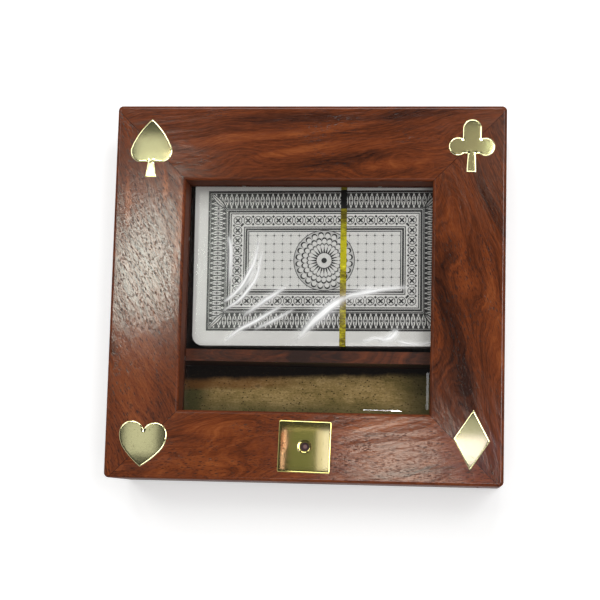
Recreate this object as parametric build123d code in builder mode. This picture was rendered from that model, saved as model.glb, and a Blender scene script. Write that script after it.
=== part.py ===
"""Playing card box with drawer.

A mitred hardwood frame holds a glass pane over a shallow casing. A drawer slides out from under the
frame's front rail, with a bay for one wrapped deck of cards and a trough for dice behind its front.
Millimetres, +Z up. The origin is the middle of the underside, and the drawer opens towards -Y.
"""

from build123d import *
from math import cos, radians, sin
import os

os.makedirs("parts", exist_ok=True)

# ---------------------------------------------------------------- Driving dimensions
# Casing
corner_radius = 1.6  # upright outer corners of frame, walls and base
wall_thickness = 8.0
wall_rabbet = 3.0  # how far the back wall's ends are let into the side walls
base_thickness = 4.5
base_bevel = 0.6

# Frame
stile_width = 24.0
back_rail_width = 25.4
front_rail_width = 22.6
frame_arris = 1.0  # rounding of the frame's outer top edge
window_arris = 1.0  # rounding of the window's top edge

# Glass and the beads that hold it up from below
lip_thickness = 8.0
rabbet_width = 5.0
glass_thickness = 2.0
glass_clearance = 0.5
bead_height = 1.9
bead_clearance = 0.1
bead_side_clearance = 0.2

# Deck of cards in its clear wrap
card_count = 54
card_thickness = 0.31
card_length = 88.6
card_width = 57.8
card_corner_radius = 3.5
wrap_thickness = 0.2
tear_strip_thickness = 0.1
tear_strip_width = 2.1
tear_strip_offset = 6.5  # from the deck's middle, along its length
deck_skew = 0.6  # degrees, as the deck lies in its bay
deck_room_left = 10.7  # deck's ends to the drawer's sides
deck_room_right = 1.5
deck_room_back = 6.5  # deck to the drawer's back
deck_gap = 1.5  # deck to divider

# Drawer
drawer_side_clearance = 0.4
drawer_back_clearance = 0.4
drawer_under_clearance = 0.3
drawer_top_clearance = 0.4
drawer_side_thickness = 6.0
drawer_back_thickness = 6.0
drawer_front_thickness = 8.5
drawer_front_lap = 4.5  # how far the sides are let into the front
drawer_bottom_thickness = 3.0
drawer_bottom_rabbet = 3.0
drawer_bottom_clearance = 0.2
deck_headroom = 0.7  # deck to the drawer's top edge
trough_depth = 31.4  # trough for dice, front to back
divider_thickness = 4.0
divider_dado = 2.0
divider_dado_clearance = 0.1
divider_drop = 0.3  # divider's top below the drawer's top edge
notch_radius = 11.0  # half-moon finger notch in the drawer's front
notch_easing = 1.0

# Brass inlays, let into the frame's face
inlay_thickness = 1.5
inlay_recess = 1.15
inlay_easing = 0.3

# Pins: plain shank and a small flat head, driven flush
pin_diameter = 1.2
pin_head_diameter = 2.2
pin_head_height = 0.5
base_pin_length = 15.0
base_pin_inset = 14.0
wall_pin_length = 16.0
wall_pin_inset = 5.0  # from the wall's lower and upper edge
drawer_pin_length = 13.0
drawer_pin_inset = 5.0
bead_pin_diameter = 0.8
bead_pin_length = 9.0
bead_pin_inset = 18.0

# ---------------------------------------------------------------- Places that follow
card_stack_height = card_count * card_thickness
deck_height = card_stack_height + 2 * wrap_thickness
deck_length = card_length + 2 * wrap_thickness
deck_width = card_width + 2 * wrap_thickness

# The drawer is made round its deck, and the casing round its drawer.
drawer_inside = (deck_room_left + deck_length + deck_room_right) / 2
drawer_half = drawer_inside + drawer_side_thickness
wall_inside = drawer_half + drawer_side_clearance  # inner face of a side wall
box_side = wall_inside + wall_thickness
box_width = 2 * box_side

bay_depth = deck_gap + deck_width + deck_room_back
drawer_depth = drawer_front_thickness + trough_depth + divider_thickness + bay_depth + drawer_back_thickness
box_depth = drawer_depth + drawer_back_clearance + wall_thickness
box_front = -box_depth / 2
box_back = box_depth / 2

trough_front = box_front + drawer_front_thickness
side_front = trough_front - drawer_front_lap
divider_front = trough_front + trough_depth
divider_back = divider_front + divider_thickness
bay_back = divider_back + bay_depth
drawer_rear = bay_back + drawer_back_thickness
deck_side = deck_room_left + deck_length / 2 - drawer_inside  # the deck's middle, along X
deck_middle = divider_back + deck_gap + deck_width / 2

drawer_underside = base_thickness + drawer_under_clearance
drawer_floor = drawer_underside + drawer_bottom_thickness
drawer_top = drawer_floor + deck_height + deck_headroom
frame_underside = drawer_top + drawer_top_clearance
frame_thickness = lip_thickness + glass_thickness + bead_height + bead_clearance
frame_top = frame_underside + frame_thickness
wall_height = frame_underside - base_thickness

window_width = box_width - 2 * stile_width
window_depth = box_depth - back_rail_width - front_rail_width
window_middle = (front_rail_width - back_rail_width) / 2

stile_middle = box_side - stile_width / 2
front_rail_middle = box_front + front_rail_width / 2

glass_underside = frame_top - lip_thickness - glass_thickness
bead_width = rabbet_width - bead_side_clearance
inlay_floor = frame_top - inlay_recess

# ---------------------------------------------------------------- Outlines of the inlays
# Each is drawn about its own middle line, then set on its stile or rail, a little off the middle as it lies.
spade_head = 14.6
spade_half_width = 6.8
spade_shoulder = 5.0
spade_flank_bulge = 0.7
spade_lobe_end = 4.0
spade_neck = 2.1
spade_stem = 5.2
spade_foot = 3.8
spade_shift = -0.1
spade_inset = 19.25  # from the box's back edge
spade_spot = (-stile_middle + spade_shift, box_back - spade_inset)
spade_turn = 0.0

with BuildSketch() as spade_outline:
    with BuildLine():
        spade_flank = SagittaArc((spade_half_width, spade_shoulder), (0, spade_head), -spade_flank_bulge)
        spade_lobe = TangentArc(
            (spade_half_width, spade_shoulder), (spade_lobe_end, 0), tangent=spade_flank % 0 * -1
        )
        Polyline(
            (spade_lobe_end, 0),
            (spade_neck / 2, 0),
            (spade_foot / 2, -spade_stem),
            (0, -spade_stem),
        )
        mirror(about=Plane.YZ)
    make_face()

club_lobe_radius = 3.05
club_lobe_spread = 4.5
club_lobe_rise = 3.3
club_crown_rise = 9.4
club_neck = 2.7
club_stem = 5.2
club_foot = 3.2
club_web = 4.7  # depth of the metal between the two side lobes
club_shift = 0.6
club_inset = 17.05
club_spot = (stile_middle + club_shift, box_back - club_inset)
club_turn = -0.8

with BuildSketch() as club_outline:
    with Locations(
        (-club_lobe_spread, club_lobe_rise), (club_lobe_spread, club_lobe_rise), (0, club_crown_rise)
    ):
        Circle(club_lobe_radius)
    with Locations((0, club_lobe_rise)):
        Rectangle(2 * club_lobe_radius, club_crown_rise - club_lobe_rise, align=(Align.CENTER, Align.MIN))
        Rectangle(2 * club_lobe_spread, club_web)
    with BuildLine():
        Polyline((0, club_lobe_rise), (club_neck / 2, club_lobe_rise), (club_neck / 2, 0))
        Polyline((club_neck / 2, 0), (club_foot / 2, -club_stem), (0, -club_stem))
        mirror(about=Plane.YZ)
    make_face()

heart_shoulder = (7.9, -1.6)  # the widest place, from the notch
heart_lobe_top = (4.2, 2.6)
heart_waist = (5.9, -6.8)
heart_tip = (0, -12.1)
heart_shift = 0.8
heart_inset = 15.85  # from the box's front edge
heart_spot = (-stile_middle + heart_shift, box_front + heart_inset)
heart_turn = -3.8

with BuildSketch() as heart_outline:
    with BuildLine():
        heart_lobe = ThreePointArc((0, 0), heart_lobe_top, heart_shoulder)
        heart_cheek = TangentArc(heart_shoulder, heart_waist, tangent=heart_lobe % 1)
        TangentArc(heart_waist, heart_tip, tangent=heart_cheek % 1)
        mirror(about=Plane.YZ)
    make_face()

diamond_half_width = 5.85
diamond_half_height = 9.7
diamond_shift = 1.7
diamond_inset = 14.65
diamond_spot = (stile_middle + diamond_shift, box_front + diamond_inset)
diamond_turn = -3.0

with BuildSketch() as diamond_outline:
    Polygon(
        (diamond_half_width, 0), (0, diamond_half_height), (-diamond_half_width, 0), (0, -diamond_half_height),
        align=None,
    )

plate_width = 17.1
plate_depth = 16.7
plate_corner = 0.4
plate_shift = 0.9
plate_rise = 0.05
plate_spot = (plate_shift, front_rail_middle + plate_rise)
plate_turn = -1.2
pip_diameter = 3.5
pip_rim = 0.55  # bevel round the pip

with BuildSketch() as plate_outline:
    RectangleRounded(plate_width, plate_depth, plate_corner)

inlays = (
    (spade_outline.sketch, spade_spot, spade_turn),
    (club_outline.sketch, club_spot, club_turn),
    (heart_outline.sketch, heart_spot, heart_turn),
    (diamond_outline.sketch, diamond_spot, diamond_turn),
    (plate_outline.sketch, plate_spot, plate_turn),
)


def inlay_plane(spot, turn):
    """The plane of a recess's floor, at an inlay's place and turned as the inlay is."""
    across = (cos(radians(turn)), sin(radians(turn)), 0)
    return Plane(origin=(*spot, inlay_floor), x_dir=across, z_dir=(0, 0, 1))


# ---------------------------------------------------------------- Pins
def driven_pins(spots, diameter, length):
    """One pin at each plane in spots, whose normal points out of the pin's head."""
    with BuildPart() as group:
        for spot in spots:
            with BuildSketch(spot):
                Circle(diameter / 2)
            extrude(amount=-length)
            with BuildSketch(spot):
                Circle(diameter / 2 * pin_head_diameter / pin_diameter)
            extrude(amount=-pin_head_height)
    return group.part


wall_middle = box_side - wall_thickness / 2
back_wall_middle = box_back - wall_thickness / 2
base_pin_end = box_back - base_pin_inset
base_pin_side = box_side - base_pin_inset - wall_thickness
base_pin_places = [(side * wall_middle, y) for side in (-1, 1) for y in (-base_pin_end, 0, base_pin_end)]
base_pin_places += [(side * base_pin_side, back_wall_middle) for side in (-1, 1)]

with BuildPart() as base_pins:
    add(driven_pins(
        [Plane(origin=(x, y, 0), z_dir=(0, 0, -1)) for x, y in base_pin_places],
        pin_diameter,
        base_pin_length,
    ))
base_pins.part.label = "base_pins"
export_step(base_pins.part, "parts/base_pins.step")

wall_pin_heights = (base_thickness + wall_pin_inset, frame_underside - wall_pin_inset)

with BuildPart() as wall_pins:
    add(driven_pins(
        [
            Plane(origin=(side * box_side, back_wall_middle, z), z_dir=(side, 0, 0))
            for side in (-1, 1)
            for z in wall_pin_heights
        ],
        pin_diameter,
        wall_pin_length,
    ))
wall_pins.part.label = "wall_pins"
export_step(wall_pins.part, "parts/wall_pins.step")

drawer_pin_rows = (side_front + drawer_front_lap / 2, drawer_rear - drawer_back_thickness / 2)
drawer_pin_heights = (drawer_floor + drawer_pin_inset, drawer_top - drawer_pin_inset)

with BuildPart() as drawer_pins:
    add(driven_pins(
        [
            Plane(origin=(side * drawer_half, y, z), z_dir=(side, 0, 0))
            for side in (-1, 1)
            for y in drawer_pin_rows
            for z in drawer_pin_heights
        ],
        pin_diameter,
        drawer_pin_length,
    ))
drawer_pins.part.label = "drawer_pins"
export_step(drawer_pins.part, "parts/drawer_pins.step")

bead_pin_level = frame_underside + bead_clearance + bead_height / 2
bead_inner_x = window_width / 2 + bead_side_clearance
bead_inner_y = window_depth / 2 + bead_side_clearance
bead_pin_x = window_width / 2 - bead_pin_inset
bead_pin_y = window_depth / 2 - bead_pin_inset

with BuildPart() as glass_bead_pins:
    add(driven_pins(
        [
            Plane(origin=(end * bead_pin_x, window_middle + side * bead_inner_y, bead_pin_level), z_dir=(0, -side, 0))
            for side in (-1, 1)
            for end in (-1, 1)
        ]
        + [
            Plane(origin=(side * bead_inner_x, window_middle + end * bead_pin_y, bead_pin_level), z_dir=(-side, 0, 0))
            for side in (-1, 1)
            for end in (-1, 1)
        ],
        bead_pin_diameter,
        bead_pin_length,
    ))
glass_bead_pins.part.label = "glass_bead_pins"
export_step(glass_bead_pins.part, "parts/glass_bead_pins.step")

# ---------------------------------------------------------------- Frame
# The four members are cut from one moulded ring, so that their mitres and recesses meet exactly.
with BuildPart() as frame_ring:
    with BuildSketch(Plane.XY.offset(frame_underside)):
        RectangleRounded(box_width, box_depth, corner_radius)
        with Locations((0, window_middle)):
            Rectangle(window_width, window_depth, mode=Mode.SUBTRACT)
    extrude(amount=frame_thickness)
    frame_face = faces().sort_by(Axis.Z)[-1]
    fillet(frame_face.outer_wire().edges(), frame_arris)
    frame_face = faces().sort_by(Axis.Z)[-1]
    fillet(frame_face.inner_wires()[0].edges(), window_arris)
    with BuildSketch(Plane.XY.offset(frame_underside)):
        with Locations((0, window_middle)):
            Rectangle(window_width + 2 * rabbet_width, window_depth + 2 * rabbet_width)
    extrude(amount=frame_thickness - lip_thickness, mode=Mode.SUBTRACT)
    for outline, spot, turn in inlays:
        with BuildSketch(inlay_plane(spot, turn)):
            add(outline)
        extrude(amount=inlay_thickness, mode=Mode.SUBTRACT)
    add(glass_bead_pins.part, mode=Mode.SUBTRACT)

window_back = window_middle + window_depth / 2
window_front = window_middle - window_depth / 2
window_side = window_width / 2

# The mitres run out from the window's corners at 45 degrees, past the frame's widest member.
mitre_reach = max(stile_width, back_rail_width, front_rail_width)
outer_side = window_side + mitre_reach
outer_back = window_back + mitre_reach
outer_front = window_front - mitre_reach

with BuildPart() as frame_rail_back:
    add(frame_ring.part)
    with BuildSketch(Plane.XY.offset(frame_underside)):
        Polygon(
            (-outer_side, outer_back), (-window_side, window_back),
            (window_side, window_back), (outer_side, outer_back),
            align=None,
        )
    extrude(amount=frame_thickness, mode=Mode.INTERSECT)
frame_rail_back.part.label = "frame_rail_back"
export_step(frame_rail_back.part, "parts/frame_rail_back.step")

with BuildPart() as frame_rail_front:
    add(frame_ring.part)
    with BuildSketch(Plane.XY.offset(frame_underside)):
        Polygon(
            (-outer_side, outer_front), (outer_side, outer_front),
            (window_side, window_front), (-window_side, window_front),
            align=None,
        )
    extrude(amount=frame_thickness, mode=Mode.INTERSECT)
frame_rail_front.part.label = "frame_rail_front"
export_step(frame_rail_front.part, "parts/frame_rail_front.step")

with BuildPart() as frame_stile_left:
    add(frame_ring.part)
    with BuildSketch(Plane.XY.offset(frame_underside)):
        Polygon(
            (-outer_side, outer_back), (-outer_side, outer_front),
            (-window_side, window_front), (-window_side, window_back),
            align=None,
        )
    extrude(amount=frame_thickness, mode=Mode.INTERSECT)
frame_stile_left.part.label = "frame_stile_left"
export_step(frame_stile_left.part, "parts/frame_stile_left.step")

with BuildPart() as frame_stile_right:
    add(frame_ring.part)
    with BuildSketch(Plane.XY.offset(frame_underside)):
        Polygon(
            (outer_side, outer_front), (outer_side, outer_back),
            (window_side, window_back), (window_side, window_front),
            align=None,
        )
    extrude(amount=frame_thickness, mode=Mode.INTERSECT)
frame_stile_right.part.label = "frame_stile_right"
export_step(frame_stile_right.part, "parts/frame_stile_right.step")

# ---------------------------------------------------------------- Glass and beads
pane_width = window_width + 2 * (rabbet_width - glass_clearance)
pane_depth = window_depth + 2 * (rabbet_width - glass_clearance)

with BuildPart() as glass_pane:
    with BuildSketch(Plane.XY.offset(glass_underside)):
        with Locations((0, window_middle)):
            Rectangle(pane_width, pane_depth)
    extrude(amount=glass_thickness)
glass_pane.part.label = "glass_pane"
export_step(glass_pane.part, "parts/glass_pane.step")

rabbet_length = window_width + 2 * rabbet_width
bead_plane = Plane.XY.offset(frame_underside + bead_clearance)

with BuildPart() as glass_bead_back:
    with BuildSketch(bead_plane):
        with Locations((0, window_back + rabbet_width)):
            Rectangle(rabbet_length, bead_width, align=(Align.CENTER, Align.MAX))
    extrude(amount=bead_height)
    add(glass_bead_pins.part, mode=Mode.SUBTRACT)
glass_bead_back.part.label = "glass_bead_back"
export_step(glass_bead_back.part, "parts/glass_bead_back.step")

with BuildPart() as glass_bead_front:
    with BuildSketch(bead_plane):
        with Locations((0, window_front - rabbet_width)):
            Rectangle(rabbet_length, bead_width, align=(Align.CENTER, Align.MIN))
    extrude(amount=bead_height)
    add(glass_bead_pins.part, mode=Mode.SUBTRACT)
glass_bead_front.part.label = "glass_bead_front"
export_step(glass_bead_front.part, "parts/glass_bead_front.step")

bead_side_length = window_depth + 2 * bead_side_clearance

with BuildPart() as glass_bead_left:
    with BuildSketch(bead_plane):
        with Locations((-window_side - rabbet_width, window_middle)):
            Rectangle(bead_width, bead_side_length, align=(Align.MIN, Align.CENTER))
    extrude(amount=bead_height)
    add(glass_bead_pins.part, mode=Mode.SUBTRACT)
glass_bead_left.part.label = "glass_bead_left"
export_step(glass_bead_left.part, "parts/glass_bead_left.step")

with BuildPart() as glass_bead_right:
    with BuildSketch(bead_plane):
        with Locations((window_side + rabbet_width, window_middle)):
            Rectangle(bead_width, bead_side_length, align=(Align.MAX, Align.CENTER))
    extrude(amount=bead_height)
    add(glass_bead_pins.part, mode=Mode.SUBTRACT)
glass_bead_right.part.label = "glass_bead_right"
export_step(glass_bead_right.part, "parts/glass_bead_right.step")

# ---------------------------------------------------------------- Brass inlays
with BuildPart() as spade_inlay:
    with BuildSketch(inlay_plane(spade_spot, spade_turn)):
        add(spade_outline.sketch)
    extrude(amount=inlay_thickness)
    fillet(faces().sort_by(Axis.Z)[-1].edges(), inlay_easing)
spade_inlay.part.label = "spade_inlay"
export_step(spade_inlay.part, "parts/spade_inlay.step")

with BuildPart() as club_inlay:
    with BuildSketch(inlay_plane(club_spot, club_turn)):
        add(club_outline.sketch)
    extrude(amount=inlay_thickness)
    fillet(faces().sort_by(Axis.Z)[-1].edges(), inlay_easing)
club_inlay.part.label = "club_inlay"
export_step(club_inlay.part, "parts/club_inlay.step")

with BuildPart() as heart_inlay:
    with BuildSketch(inlay_plane(heart_spot, heart_turn)):
        add(heart_outline.sketch)
    extrude(amount=inlay_thickness)
    fillet(faces().sort_by(Axis.Z)[-1].edges(), inlay_easing)
heart_inlay.part.label = "heart_inlay"
export_step(heart_inlay.part, "parts/heart_inlay.step")

with BuildPart() as diamond_inlay:
    with BuildSketch(inlay_plane(diamond_spot, diamond_turn)):
        add(diamond_outline.sketch)
    extrude(amount=inlay_thickness)
    fillet(faces().sort_by(Axis.Z)[-1].edges(), inlay_easing)
diamond_inlay.part.label = "diamond_inlay"
export_step(diamond_inlay.part, "parts/diamond_inlay.step")

with BuildPart() as die_face_plate:
    with BuildSketch(inlay_plane(plate_spot, plate_turn)):
        add(plate_outline.sketch)
        Circle(pip_diameter / 2, mode=Mode.SUBTRACT)
    extrude(amount=inlay_thickness)
    fillet(faces().sort_by(Axis.Z)[-1].outer_wire().edges(), inlay_easing)
    chamfer(faces().sort_by(Axis.Z)[-1].inner_wires()[0].edges(), pip_rim)
die_face_plate.part.label = "die_face_plate"
export_step(die_face_plate.part, "parts/die_face_plate.step")

# ---------------------------------------------------------------- Casing
with BuildPart() as base_board:
    with BuildSketch():
        RectangleRounded(box_width, box_depth, corner_radius)
    extrude(amount=base_thickness)
    chamfer(faces().sort_by(Axis.Z)[0].edges(), base_bevel)
    add(base_pins.part, mode=Mode.SUBTRACT)
base_board.part.label = "base_board"
export_step(base_board.part, "parts/base_board.step")

back_wall_half = wall_inside + wall_rabbet

with BuildPart() as casing_wall_left:
    with BuildSketch(Plane.XY.offset(base_thickness)):
        RectangleRounded(box_width, box_depth, corner_radius)
        with Locations((-box_side, box_front)):
            Rectangle(wall_thickness, box_depth, align=Align.MIN, mode=Mode.INTERSECT)
        with Locations((-wall_inside, box_back)):
            Rectangle(wall_rabbet, wall_thickness, align=Align.MAX, mode=Mode.SUBTRACT)
    extrude(amount=wall_height)
    add(base_pins.part, mode=Mode.SUBTRACT)
    add(wall_pins.part, mode=Mode.SUBTRACT)
casing_wall_left.part.label = "casing_wall_left"
export_step(casing_wall_left.part, "parts/casing_wall_left.step")

with BuildPart() as casing_wall_right:
    with BuildSketch(Plane.XY.offset(base_thickness)):
        RectangleRounded(box_width, box_depth, corner_radius)
        with Locations((box_side, box_front)):
            Rectangle(wall_thickness, box_depth, align=(Align.MAX, Align.MIN), mode=Mode.INTERSECT)
        with Locations((wall_inside, box_back)):
            Rectangle(wall_rabbet, wall_thickness, align=(Align.MIN, Align.MAX), mode=Mode.SUBTRACT)
    extrude(amount=wall_height)
    add(base_pins.part, mode=Mode.SUBTRACT)
    add(wall_pins.part, mode=Mode.SUBTRACT)
casing_wall_right.part.label = "casing_wall_right"
export_step(casing_wall_right.part, "parts/casing_wall_right.step")

with BuildPart() as casing_wall_back:
    with BuildSketch(Plane.XY.offset(base_thickness)):
        with Locations((0, box_back)):
            Rectangle(2 * back_wall_half, wall_thickness, align=(Align.CENTER, Align.MAX))
    extrude(amount=wall_height)
    add(base_pins.part, mode=Mode.SUBTRACT)
    add(wall_pins.part, mode=Mode.SUBTRACT)
casing_wall_back.part.label = "casing_wall_back"
export_step(casing_wall_back.part, "parts/casing_wall_back.step")

# ---------------------------------------------------------------- Drawer
drawer_height = drawer_top - drawer_underside
bottom_half = drawer_inside + drawer_bottom_rabbet
bottom_front = trough_front - drawer_bottom_rabbet
divider_half = drawer_inside + divider_dado
divider_top = drawer_top - divider_drop

with BuildPart() as drawer_front:
    with BuildSketch(Plane.XY.offset(drawer_underside)):
        with Locations((0, box_front)):
            Rectangle(2 * drawer_half, drawer_front_thickness, align=(Align.CENTER, Align.MIN))
        with Locations((-drawer_half, side_front)):
            Rectangle(drawer_side_thickness, drawer_front_lap, align=Align.MIN, mode=Mode.SUBTRACT)
        with Locations((drawer_half, side_front)):
            Rectangle(drawer_side_thickness, drawer_front_lap, align=(Align.MAX, Align.MIN), mode=Mode.SUBTRACT)
    extrude(amount=drawer_height)
    with BuildSketch(Plane.XZ.offset(-box_front)):
        with Locations((0, drawer_top)):
            Circle(notch_radius)
    extrude(amount=-drawer_front_thickness, mode=Mode.SUBTRACT)
    notch_rims = edges().filter_by(GeomType.CIRCLE).filter_by(lambda rim: rim.radius > notch_radius / 2)
    fillet(notch_rims, notch_easing)
    with BuildSketch(Plane.XY.offset(drawer_underside)):
        with Locations((0, bottom_front)):
            Rectangle(2 * bottom_half, drawer_bottom_rabbet, align=(Align.CENTER, Align.MIN))
    extrude(amount=drawer_bottom_thickness, mode=Mode.SUBTRACT)
    add(drawer_pins.part, mode=Mode.SUBTRACT)
drawer_front.part.label = "drawer_front"
export_step(drawer_front.part, "parts/drawer_front.step")

with BuildPart() as drawer_side_left:
    with BuildSketch(Plane.XY.offset(drawer_underside)):
        with Locations((-drawer_half, side_front)):
            Rectangle(drawer_side_thickness, drawer_rear - side_front, align=Align.MIN)
    extrude(amount=drawer_height)
    with BuildSketch(Plane.XY.offset(drawer_underside)):
        with Locations((-bottom_half, bottom_front)):
            Rectangle(drawer_bottom_rabbet, drawer_rear - bottom_front, align=Align.MIN)
    extrude(amount=drawer_bottom_thickness, mode=Mode.SUBTRACT)
    with BuildSketch(Plane.XY.offset(drawer_floor)):
        with Locations((-divider_half, divider_front)):
            Rectangle(divider_dado, divider_thickness, align=Align.MIN)
    extrude(amount=drawer_height, mode=Mode.SUBTRACT)
    add(drawer_pins.part, mode=Mode.SUBTRACT)
drawer_side_left.part.label = "drawer_side_left"
export_step(drawer_side_left.part, "parts/drawer_side_left.step")

with BuildPart() as drawer_side_right:
    with BuildSketch(Plane.XY.offset(drawer_underside)):
        with Locations((drawer_half, side_front)):
            Rectangle(drawer_side_thickness, drawer_rear - side_front, align=(Align.MAX, Align.MIN))
    extrude(amount=drawer_height)
    with BuildSketch(Plane.XY.offset(drawer_underside)):
        with Locations((bottom_half, bottom_front)):
            Rectangle(drawer_bottom_rabbet, drawer_rear - bottom_front, align=(Align.MAX, Align.MIN))
    extrude(amount=drawer_bottom_thickness, mode=Mode.SUBTRACT)
    with BuildSketch(Plane.XY.offset(drawer_floor)):
        with Locations((divider_half, divider_front)):
            Rectangle(divider_dado, divider_thickness, align=(Align.MAX, Align.MIN))
    extrude(amount=drawer_height, mode=Mode.SUBTRACT)
    add(drawer_pins.part, mode=Mode.SUBTRACT)
drawer_side_right.part.label = "drawer_side_right"
export_step(drawer_side_right.part, "parts/drawer_side_right.step")

with BuildPart() as drawer_back:
    with BuildSketch(Plane.XY.offset(drawer_floor)):
        with Locations((0, drawer_rear)):
            Rectangle(2 * drawer_inside, drawer_back_thickness, align=(Align.CENTER, Align.MAX))
    extrude(amount=drawer_top - drawer_floor)
    add(drawer_pins.part, mode=Mode.SUBTRACT)
drawer_back.part.label = "drawer_back"
export_step(drawer_back.part, "parts/drawer_back.step")

with BuildPart() as drawer_bottom:
    with BuildSketch(Plane.XY.offset(drawer_underside)):
        with Locations((0, drawer_rear)):
            Rectangle(
                2 * (bottom_half - drawer_bottom_clearance),
                drawer_rear - bottom_front - drawer_bottom_clearance,
                align=(Align.CENTER, Align.MAX),
            )
    extrude(amount=drawer_bottom_thickness)
drawer_bottom.part.label = "drawer_bottom"
export_step(drawer_bottom.part, "parts/drawer_bottom.step")

with BuildPart() as drawer_divider:
    with BuildSketch(Plane.XY.offset(drawer_floor)):
        with Locations((0, divider_back)):
            Rectangle(
                2 * (divider_half - divider_dado_clearance),
                divider_thickness,
                align=(Align.CENTER, Align.MAX),
            )
    extrude(amount=divider_top - drawer_floor)
drawer_divider.part.label = "drawer_divider"
export_step(drawer_divider.part, "parts/drawer_divider.step")

# ---------------------------------------------------------------- Deck
deck_along = (cos(radians(deck_skew)), sin(radians(deck_skew)), 0)
deck_plane = Plane(origin=(deck_side, deck_middle, drawer_floor), x_dir=deck_along, z_dir=(0, 0, 1))

with BuildPart() as card_deck:
    with BuildSketch(deck_plane.offset(wrap_thickness)):
        RectangleRounded(card_length, card_width, card_corner_radius)
    extrude(amount=card_stack_height)
card_deck.part.label = "card_deck"
export_step(card_deck.part, "parts/card_deck.step")

# The strip is bonded round the wrap, in its outer layer.
with BuildPart() as tear_strip:
    with BuildSketch(deck_plane):
        RectangleRounded(deck_length, deck_width, card_corner_radius + wrap_thickness)
        with Locations((tear_strip_offset, 0)):
            Rectangle(tear_strip_width, deck_width, mode=Mode.INTERSECT)
    extrude(amount=deck_height)
    with BuildSketch(deck_plane.offset(tear_strip_thickness)):
        Rectangle(deck_length, deck_width - 2 * tear_strip_thickness)
    extrude(amount=deck_height - 2 * tear_strip_thickness, mode=Mode.SUBTRACT)
tear_strip.part.label = "tear_strip"
export_step(tear_strip.part, "parts/tear_strip.step")

with BuildPart() as deck_wrap:
    with BuildSketch(deck_plane):
        RectangleRounded(deck_length, deck_width, card_corner_radius + wrap_thickness)
    extrude(amount=deck_height)
    add(card_deck.part, mode=Mode.SUBTRACT)
    add(tear_strip.part, mode=Mode.SUBTRACT)
deck_wrap.part.label = "deck_wrap"
export_step(deck_wrap.part, "parts/deck_wrap.step")

print(f"box {box_width:.1f} x {box_depth:.1f} x {frame_top + inlay_thickness - inlay_recess:.2f}")
print(f"window {window_width:.1f} x {window_depth:.1f}, drawer inside {2 * drawer_inside:.1f} wide")
print(f"card bay {bay_depth:.1f} deep, trough {divider_front - trough_front:.1f} deep")
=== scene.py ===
# %% [markdown]
# # A playing card box with a drawer
# The box is a mitred rosewood frame over a shallow casing, with brass card suits let into its corners, a
# glass pane in its window, and a drawer below that holds a wrapped deck of cards. The joinery is finished
# already and comes in as a fixed frame. This lesson gives it its looks: lacquered wood, polished brass, a
# printed card back and crinkled film. Everything is in metres, and MM is one millimetre.

# %% Load the frame
import math

import bmesh
import bpy
from mathutils import Matrix, Vector
from mathutils.geometry import delaunay_2d_cdt


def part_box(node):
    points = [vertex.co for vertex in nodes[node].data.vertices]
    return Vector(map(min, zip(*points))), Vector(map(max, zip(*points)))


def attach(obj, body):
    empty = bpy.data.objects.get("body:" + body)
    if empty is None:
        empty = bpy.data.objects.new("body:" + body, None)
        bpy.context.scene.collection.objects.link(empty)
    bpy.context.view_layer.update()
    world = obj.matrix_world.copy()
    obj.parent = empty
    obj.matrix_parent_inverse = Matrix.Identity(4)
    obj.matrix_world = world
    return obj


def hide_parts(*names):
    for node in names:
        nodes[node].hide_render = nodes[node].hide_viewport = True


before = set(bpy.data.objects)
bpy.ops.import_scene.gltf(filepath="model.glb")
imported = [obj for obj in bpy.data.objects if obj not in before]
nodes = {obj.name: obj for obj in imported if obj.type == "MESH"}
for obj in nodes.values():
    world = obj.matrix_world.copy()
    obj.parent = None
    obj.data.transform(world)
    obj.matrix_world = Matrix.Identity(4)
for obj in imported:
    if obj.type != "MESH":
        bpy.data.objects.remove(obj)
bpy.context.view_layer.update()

MM = 0.001

# %% [markdown]
# ## Measuring the frame
# The looks take their places from the frame, so that they follow the joinery. The window's edges are the
# inner faces of the four frame members, and the face is their top.

# %% Measure the window and the face
rail_back_low, rail_back_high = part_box("frame_rail_back")
face_height = rail_back_high.z
window_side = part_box("frame_stile_right")[0].x
window_back = rail_back_low.y
window_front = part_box("frame_rail_front")[1].y
window_middle = (window_back + window_front) / 2
window_half_depth = (window_back - window_front) / 2
print("window in mm:", round(2 * window_side / MM, 2), "by", round(2 * window_half_depth / MM, 2))

# %% [markdown]
# ## The camera
# The photograph was taken from above, a little to the right of the box and in front of it. The camera's place
# and the point that it looks at were worked out from the corners of the frame and of the window. It looks
# almost straight down, where the usual way to aim a camera can spin it about its own line of sight. So its
# three axes are worked out here: up is the frame's +Y made square to that line, and then turned by a last
# small roll. The lamps are aimed in the same way.

# %% Place the camera
camera_place = Vector((53.0 * MM, -71.0 * MM, face_height + 520.3 * MM))
camera_aim = Vector((-1.8 * MM, -3.0 * MM, face_height))
camera_roll = math.radians(-1.5)
focal_length = 96.6
sensor_width = 36


def add_to_scene(name, data):
    made = bpy.data.objects.new(name, data)
    bpy.context.scene.collection.objects.link(made)
    return made


def point_along(thing, sight, roll=0.0):
    """Turns a camera or a lamp to look along sight, with the frame's +Y up before the roll."""
    level_up = (Vector((0, 1, 0)) - sight * sight.y).normalized()
    up = level_up * math.cos(roll) + sight.cross(level_up) * math.sin(roll)
    thing.rotation_mode = "QUATERNION"
    thing.rotation_quaternion = Matrix((sight.cross(up), up, -sight)).transposed().to_quaternion()


lens = bpy.data.cameras.new("camera")
lens.lens = focal_length
lens.sensor_width = sensor_width
camera = add_to_scene("camera", lens)
camera.location = camera_place
point_along(camera, (camera_aim - camera_place).normalized(), camera_roll)
bpy.context.scene.camera = camera
bpy.context.scene.view_settings.view_transform = "Standard"
print("camera to box in mm:", round((camera_aim - camera_place).length / MM, 1))

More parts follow.
